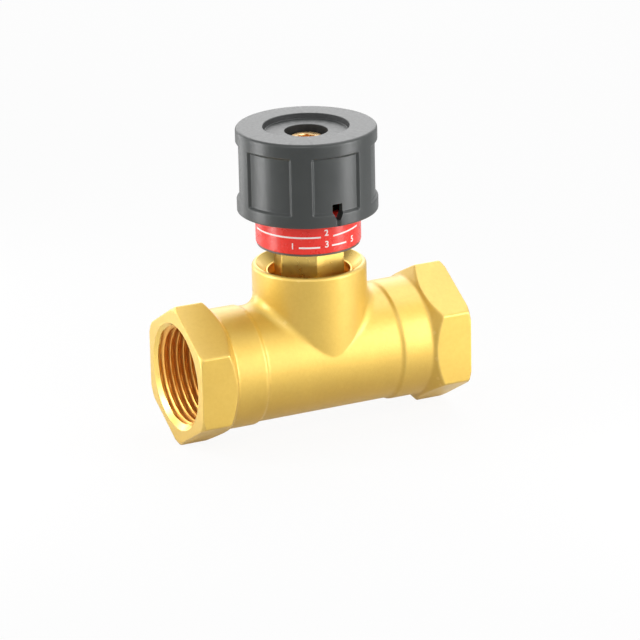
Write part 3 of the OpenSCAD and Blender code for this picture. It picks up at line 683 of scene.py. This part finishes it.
def bonnet():
    seal_r, clip_r = SHANK_R - SEAL_GROOVE_DEPTH, SPIGOT_R - CLIP_DEPTH
    low, top = BONNET_LOW - 0.2, SPIGOT_TOP + 0.2
    outer = spun("outer", filleted([
        (0, BONNET_LOW, 0), (SHANK_R, BONNET_LOW, 0.3), (SHANK_R, SEAL_GROOVE_Z, 0.05),
        (seal_r, SEAL_GROOVE_Z, 0.1), (seal_r, SEAL_GROOVE_TOP, 0.1),
        (SHANK_R, SEAL_GROOVE_TOP, 0.05), (SHANK_R, FLANGE_Z, 0), (FLANGE_R, FLANGE_Z, 0.2),
        (FLANGE_R, BONNET_HEX_Z, 0.3), (SPIGOT_R, BONNET_HEX_Z, 0), (SPIGOT_R, CLIP_LOW, 0.05),
        (clip_r, CLIP_LOW, 0.05), (clip_r, CLIP_HIGH, 0.05), (SPIGOT_R, CLIP_HIGH, 0.05),
        (SPIGOT_R, SPIGOT_TOP, 0.3), (0, SPIGOT_TOP, 0)]))
    grooves = []
    for groove_low, groove_high in STEM_GROOVES:
        grooves += [(STEM_BORE_R, groove_low, 0), (STEM_GROOVE_R, groove_low, 0.1),
                    (STEM_GROOVE_R, groove_high, 0.1), (STEM_BORE_R, groove_high, 0)]
    inner = spun("inner", filleted([
        (0, low, 0), (CHAMBER_R, low, 0), (CHAMBER_R, CHAMBER_TOP, 0.2),
        (STEM_BORE_R, CHAMBER_TOP, 0)] + grooves + [(STEM_BORE_R, top, 0), (0, top, 0)]))
    flats = extruded("flats", hexagon(BONNET_FLATS, BONNET_TURN, HEX_FILLET),
                     BONNET_HEX_Z - 0.5, HEX_TOP)
    corner, wide, foot = corner_radius(BONNET_FLATS) - BONNET_FLATS / 2, 12, BONNET_HEX_Z - 0.6
    trim = spun("trim", [(0, foot), (wide, foot), (wide, HEX_TOP - TRIM_SLOPE * corner),
                         (TRIM_R, HEX_TOP), (0, HEX_TOP)])
    solid = joined("UNION", outer, joined("INTERSECT", flats, trim))
    piece("bonnet_turned", joined("DIFFERENCE", solid, inner), "valve",
          [NECK_BRASS], ["bonnet"])


# Scale

SCALE_Z, SCALE_TOP, SCALE_R, SCALE_WALL, SCALE_BORE_R = 30.25, 40.8, 13.25, 1.25, 7.25
SCALE_HUB_R, SCALE_FLOOR, BASE_RING_R, SCALE_SEGMENTS = 9.0, 1.5, 13.0, 192
PRINT_SUNK, PRINT_PROUD, DASH_WIDTH, FIGURE_WEIGHT = 0.1, 0.03, 0.42, 0.04
# Angle and height of both ends of each line, and each figure with its place and its size
DASHES = ((-100, 34.6, -12, 34.6), (2, 34.6, 40, 35.2), (-36, 32.0, -13, 32.0),
          (0.5, 32.2, 19.5, 32.2))
FIGURES = (("1", -43, 32.3, 2.2), ("3", -5.4, 32.6, 2.4), ("5", 29, 32.4, 2.2),
           ("2", -5.7, 35.6, 2.2))


def scale_base_ring():
    ring = spun("ring", filleted([
        (SCALE_BORE_R, HEX_TOP, 0.1), (BASE_RING_R, HEX_TOP, 0.15),
        (BASE_RING_R, SCALE_Z, 0.15), (SCALE_BORE_R, SCALE_Z, 0.1)], 3))
    piece("scale_base_ring_moulded", ring, "valve", [RING_PLASTIC],
          ["scale_base_ring"])


def scale_ring():
    inner, floor_z = SCALE_R - SCALE_WALL, SCALE_Z + SCALE_FLOOR
    cup = spun("cup", filleted([
        (SCALE_BORE_R, SCALE_Z, 0.1), (SCALE_R, SCALE_Z, 0.25), (SCALE_R, SCALE_TOP, 0.3),
        (inner, SCALE_TOP, 0.3), (inner, floor_z, 0.3), (SCALE_HUB_R, floor_z, 0.3),
        (SCALE_HUB_R, CLIP_LOW, 0.15), (SCALE_BORE_R, CLIP_LOW, 0.1)]),
        even_angles(SCALE_SEGMENTS))
    cup = joined("UNION", cup, *ribs(SCALE_Z + 1.0, SCALE_Z + 3.7, 8.4, 12.6, 0.6))
    piece("scale_ring_moulded", cup, "valve", [SCALE_PLASTIC],
          ["scale_ring"])


def on_scale(az, z, proud):
    """Point on the scale at an angle in degrees from the window's side, positive towards +X."""
    a = math.radians(az - 90)
    return ((SCALE_R + proud) * math.cos(a), (SCALE_R + proud) * math.sin(a), z)


def dash(az0, z0, az1, z1):
    """Printed line on the scale between two points."""
    half = DASH_WIDTH / 2
    section = ((-half, -PRINT_SUNK), (half, -PRINT_SUNK), (half, PRINT_PROUD),
               (-half, PRINT_PROUD))
    count = max(2, round(abs(az1 - az0) / 3))
    verts, faces = [], []
    for k in range(count + 1):
        t = k / count
        az, z = az0 + (az1 - az0) * t, z0 + (z1 - z0) * t
        verts += [on_scale(az, z + dz, proud) for dz, proud in section]
    for k in range(count):
        for i in range(4):
            faces.append([4 * k + i, 4 * k + (i + 1) % 4, 4 * k + 4 + (i + 1) % 4, 4 * k + 4 + i])
    faces += [[0, 1, 2, 3], [4 * count + i for i in range(4)]]
    return verts, faces


def figure(text, az, z, size):
    """Printed figure on the scale, centred at an angle and a height."""
    curve = bpy.data.curves.new("figure", "FONT")
    curve.body = text
    curve.size = size
    curve.align_x = "CENTER"
    curve.align_y = "CENTER"
    curve.extrude = (PRINT_PROUD + PRINT_SUNK) / 2
    curve.offset = FIGURE_WEIGHT
    curve.resolution_u = 6
    mesh = settled(scratch(curve))
    middle = (PRINT_PROUD - PRINT_SUNK) / 2
    verts = [on_scale(az + math.degrees(v.co.x / SCALE_R), z + v.co.y, v.co.z + middle)
             for v in mesh.vertices]
    return verts, [list(p.vertices) for p in mesh.polygons]


def scale_print():
    verts, faces = [], []
    for part_verts, part_faces in [dash(*d) for d in DASHES] + [figure(*f) for f in FIGURES]:
        faces += [[len(verts) + i for i in face] for face in part_faces]
        verts += part_verts
    piece("scale_print", mesh_of("print", verts, faces), "valve",
          [SCALE_PRINT])


# Knob

KNOB_R, KNOB_Z, KNOB_TOP, KNOB_EDGE, WALL_FOOT, WALL_HEAD = 17.7, 38.3, 59.8, 0.8, 39.0, 58.5
SKIRT_R, SKIRT_TOP, HUB_R, HUB_Z, HUB_BORE_R = 15.2, 56.4, 7.1, 47.2, 3.75
SERRATIONS, SERRATION_DEPTH = 18, 0.45
PANEL_LOW, PANEL_HIGH, PANEL_HALF, PANEL_DEPTH, PANEL_SLOPE = 41.7, 56.0, 20.75, 0.7, 0.8
GROOVE_HALF, GROOVE_DEPTH, GROOVE_TOP, GROOVE_FADE = 0.65, 0.5, 39.8, 0.4
TOP_FLOOR, TOP_RECESS_R, TOP_TAPER, WELL_R, WELL_Z = 58.5, 10.9, 0.5, 5.4, 53.4
WINDOW_HALF, WINDOW_TOP, WINDOW_NECK = 1.35, 43.95, 41.8


def knob_radius(angle, r, z):
    """Outer wall with its six sunk panels and pointer groove, and the serrated hub bore."""
    if r < HUB_BORE_R + 0.25:
        return r - SERRATION_DEPTH * abs((angle * SERRATIONS / TAU) % 1 * 2 - 1)
    if r < KNOB_R - 0.2 or z > WALL_HEAD:
        return r
    from_front = (math.degrees(angle) + 90 + 180) % 360 - 180
    from_panel = abs((from_front + 30) % 60 - 30)
    arc = math.radians(PANEL_HALF - from_panel) * KNOB_R
    side = ease(arc / PANEL_SLOPE + 0.5)
    rise = ease((z - PANEL_LOW) / PANEL_SLOPE + 0.5)
    rise *= ease((PANEL_HIGH - z) / PANEL_SLOPE + 0.5)
    groove = max(0, 1 - abs(math.radians(from_front)) * KNOB_R / GROOVE_HALF)
    groove *= GROOVE_DEPTH * (1 - ease((z - GROOVE_TOP) / GROOVE_FADE))
    return r - PANEL_DEPTH * side * rise - groove


def knob_angles():
    """Angles that lie close together at the panels' sides and at the pointer."""
    offsets = [0, 0.5, 1.0, 1.5, 2.0, 2.5, 3.5, 6, 9, 12, 15, 17.5]
    offsets += [PANEL_HALF + 1.5 * (k / 8 - 1) for k in range(17)]
    offsets += [23, 25, 27.5]
    angles = []
    for i in range(6):
        for sign in (1, -1):
            angles += [60 * i - 90 + sign * o for o in offsets]
        angles.append(60 * i - 60)
    return [math.radians(a) for a in sorted({round(a % 360, 4) for a in angles})]


def near(edge):
    """Heights that lie close together round a panel's edge, from the top down."""
    return [edge + 0.46 * (2 * k / 9 - 1) for k in range(10)][::-1]


def mark_painted_shade_inside(obj):
    """Gives the upright walls of the recess and of the well the second material, a darker knob
    plastic that paints shade on them.
    """
    for face, (x, y, z) in faces_from_neck(obj):
        upright = abs(face.normal.z) <= 0.7
        if upright and math.hypot(x, y) < TOP_RECESS_R - 0.05:
            face.material_index = 1


def knob():
    wall = [KNOB_TOP - 1.2, 57.4] + near(PANEL_HIGH) + [54, 51, 48, 45, 43]
    wall += near(PANEL_LOW) + [40.8, 40.2, 39.8, 39.4, WALL_FOOT]
    top = filleted([(HUB_BORE_R, WELL_Z, 0), (WELL_R, WELL_Z, 0.2), (WELL_R, TOP_FLOOR, 0.2),
                    (TOP_RECESS_R - TOP_TAPER, TOP_FLOOR, 0.3), (TOP_RECESS_R, KNOB_TOP, 0.3),
                    (KNOB_R, KNOB_TOP, KNOB_EDGE), (KNOB_R, WALL_FOOT, 0)], 6)
    low = filleted([(KNOB_R, WALL_FOOT, 0), (KNOB_R, KNOB_Z, 0.35), (SKIRT_R, KNOB_Z, 0.35),
                    (SKIRT_R, SKIRT_TOP, 0.5), (HUB_R, SKIRT_TOP, 0.4), (HUB_R, HUB_Z, 0.2),
                    (HUB_BORE_R, HUB_Z, 0)], 5)
    outline = top[:-1] + [(KNOB_R, z) for z in wall] + low[1:]
    shell = spun("shell", outline, knob_angles(), knob_radius)
    window = extruded("window", filleted([
        (-0.4, GROOVE_TOP, 0), (0.4, GROOVE_TOP, 0), (WINDOW_HALF, WINDOW_NECK, 0.4),
        (WINDOW_HALF, WINDOW_TOP, 0.2), (-WINDOW_HALF, WINDOW_TOP, 0.2),
        (-WINDOW_HALF, WINDOW_NECK, 0.4)], 3), -19, -14, "Y")
    shell = joined("UNION", shell, *ribs(50, 56.9, 6.6, 15.8, 0.7, first=-1))
    mark_painted_shade_inside(piece("knob_moulded", joined("DIFFERENCE", shell, window), "knob_assembly",
                      [KNOB_PLASTIC, KNOB_PAINTED_SHADE], ["knob"]))


SCREW_LOW, SCREW_R, SCREW_CHAMFER, SCREW_SEGMENTS = 45.9, 1.9, 0.4, 96
HEAD_R, HEAD_Z, HEAD_TOP, SOCKET_FLATS, SOCKET_Z, LEAD_Z = 4.0, 54.2, 57.0, 4, 55.2, 56.7


def knob_screw():
    angles, over = even_angles(SCREW_SEGMENTS), HEAD_TOP + 0.2
    body = spun("screw", filleted([
        (0, SCREW_LOW, 0), (SCREW_R - SCREW_CHAMFER, SCREW_LOW, 0),
        (SCREW_R, SCREW_LOW + SCREW_CHAMFER, 0), (SCREW_R, HEAD_Z, 0), (HEAD_R, HEAD_Z, 0.1),
        (HEAD_R, HEAD_TOP, 0.35), (0, HEAD_TOP, 0)], 5), angles)
    socket = extruded("socket", hexagon(SOCKET_FLATS), SOCKET_Z, over)
    lead = spun("lead", [(0, LEAD_Z), (2.0, LEAD_Z), (2.6, over), (0, over)], angles)
    piece("knob_screw_turned", joined("DIFFERENCE", body, socket, lead), "knob_assembly",
          [SCREW_BRASS], ["knob_screw"])


valve_body()
bonnet()
scale_base_ring()
scale_ring()
scale_print()
knob()
knob_screw()


# Pieces that keep their solid and get their finish

FINISHES = {
    "bonnet_seal": SEAL_RUBBER, "spindle_seal_lower": SEAL_RUBBER,
    "spindle_seal_upper": SEAL_RUBBER, "spindle_backup_ring": BACKUP_PLASTIC,
    "scale_ring_clip": STEEL, "thrust_washer": STEEL, "spring_carrier": NECK_BRASS,
    "spring": STEEL, "spindle": NECK_BRASS, "knob_washer": STEEL, "valve_plug": NECK_BRASS,
    "seat_disc": SEAL_RUBBER, "disc_washer": STEEL, "disc_screw": STEEL,
}
for node, finish in FINISHES.items():
    for material_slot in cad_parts[node].material_slots:
        material_slot.link = "OBJECT"
        material_slot.material = finish


# Floor, light and camera

FLOOR_Z, FLOOR_HALF = -18.48, 3.0
PAPER, PAPER_GLOW, PAPER_MIRRORED, WORLD_LIGHT = 0.85, 0.92, 0.05, 0.2
# Name, place, height of the aim on the neck axis, size and power. Places are in metres from
# the neck axis, on the pipe axis.
LAMPS = (
    ("back light", (0.25, 0.60, 0.35), 0.02, (0.8, 0.5), 2.1),
    ("edge light", (-0.097, 0.175, 0.045), 0.03, (0.06, 0.14), 0.09),
    ("left light", (-0.173, 0.048, 0.062), 0.062, (0.05, 0.16), 0.245),
    ("right light", (0.126, -0.128, 0.062), 0.062, (0.05, 0.16), 0.20),
    ("front light", (0.20, -0.42, 0.10), 0.02, (0.46, 0.36), 0.8),
    ("top light", (0.24, 0.08, 0.54), 0.02, (0.35, 0.35), 0.85),
    ("key light", (-0.32, -0.42, 0.42), 0.02, (0.30, 0.30), 0.7),
)
# Turn, lift and roll in degrees, distance and shifts in millimetres, focal length in pixels
VIEW_TURN, VIEW_LIFT, VIEW_ROLL = 25.62, 19.26, -1.246
VIEW_DISTANCE, VIEW_SHIFT_X, VIEW_SHIFT_Y, VIEW_FOCAL = 1000.0, -2.271, -8.085, 3950.1
SENSOR, PICTURE = 36.0, 640


def floor():
    """Pale paper under the valve. It takes the shadow, and shows white to the camera."""
    h = FLOOR_HALF
    mesh = bpy.data.meshes.new("floor")
    mesh.from_pydata([(-h, -h, 0), (h, -h, 0), (h, h, 0), (-h, h, 0)], [], [[0, 1, 2, 3]])
    obj = placed("floor", mesh)
    obj.location = (NECK_X * MM, 0, FLOOR_Z * MM)
    material = bpy.data.materials.new("floor_paper")
    material.use_nodes = True
    tree = material.node_tree
    tree.nodes.clear()
    out = tree.nodes.new("ShaderNodeOutputMaterial")
    paper = tree.nodes.new("ShaderNodeBsdfDiffuse")
    glow = tree.nodes.new("ShaderNodeEmission")
    path = tree.nodes.new("ShaderNodeLightPath")
    through = math_node(tree, "MAXIMUM", path.outputs["Is Camera Ray"],
                        path.outputs["Is Transmission Ray"])
    seen = math_node(tree, "MAXIMUM", math_node(tree, "MULTIPLY", through, PAPER_GLOW),
                     math_node(tree, "MULTIPLY", path.outputs["Is Glossy Ray"],
                               PAPER_MIRRORED))
    paper.inputs["Color"].default_value = (PAPER, PAPER, PAPER, 1)
    glow.inputs["Color"].default_value = (1, 1, 1, 1)
    mix = tree.nodes.new("ShaderNodeMixShader")
    fill(tree, mix.inputs, (seen, paper.outputs[0], glow.outputs[0]))
    link(tree, mix.outputs[0], out.inputs[0])
    mesh.materials.append(material)


def area_light(name, place, aim_height, size, watts):
    """Soft rectangular lamp that the camera doesn't see."""
    data = bpy.data.lights.new(name, "AREA")
    data.shape = "RECTANGLE"
    data.size, data.size_y = size
    data.energy = watts
    obj = placed(name, data)
    towards = Vector((0, 0, aim_height)) - Vector(place)
    obj.location = NECK_M + Vector(place)
    obj.rotation_euler = towards.to_track_quat("-Z", "Y").to_euler()
    obj.visible_camera = False


def studio():
    """World that is white where it is seen and weak where it lights, and the lamps."""
    world = bpy.data.worlds.new("studio")
    bpy.context.scene.world = world
    world.use_nodes = True
    tree = world.node_tree
    back = tree.nodes["Background"]
    path = tree.nodes.new("ShaderNodeLightPath")
    back.inputs["Color"].default_value = (1, 1, 1, 1)
    seen = math_node(tree, "MAXIMUM", path.outputs["Is Camera Ray"], math_node(
        tree, "MAXIMUM", path.outputs["Is Glossy Ray"], path.outputs["Is Transmission Ray"]))
    link(tree, spread(tree, seen, 0.0, 1.0, WORLD_LIGHT, 1.0), back.inputs["Strength"])
    for lamp in LAMPS:
        area_light(*lamp)


def camera():
    """Camera found from the outline of the hexagons, the neck, the scale and the knob."""
    turn, lift, roll = [math.radians(a) for a in (VIEW_TURN, VIEW_LIFT, VIEW_ROLL)]
    back = Vector((-math.sin(turn) * math.cos(lift), -math.cos(turn) * math.cos(lift),
                   math.sin(lift)))
    level = Vector((math.cos(turn), -math.sin(turn), 0))
    rise = back.cross(level)
    right = math.cos(roll) * level + math.sin(roll) * rise
    up = -math.sin(roll) * level + math.cos(roll) * rise
    place = (back * VIEW_DISTANCE - right * VIEW_SHIFT_X - up * VIEW_SHIFT_Y + NECK_MM) * MM
    data = bpy.data.cameras.new("camera")
    data.sensor_width = SENSOR
    data.lens = VIEW_FOCAL * SENSOR / PICTURE
    data.clip_start, data.clip_end = 0.05, 20
    obj = placed("camera", data)
    obj.matrix_world = Matrix.Translation(place) @ Matrix((right, up, back)).transposed().to_4x4()
    bpy.context.scene.camera = obj


floor()
studio()
camera()
bpy.context.scene.view_settings.view_transform = "Standard"
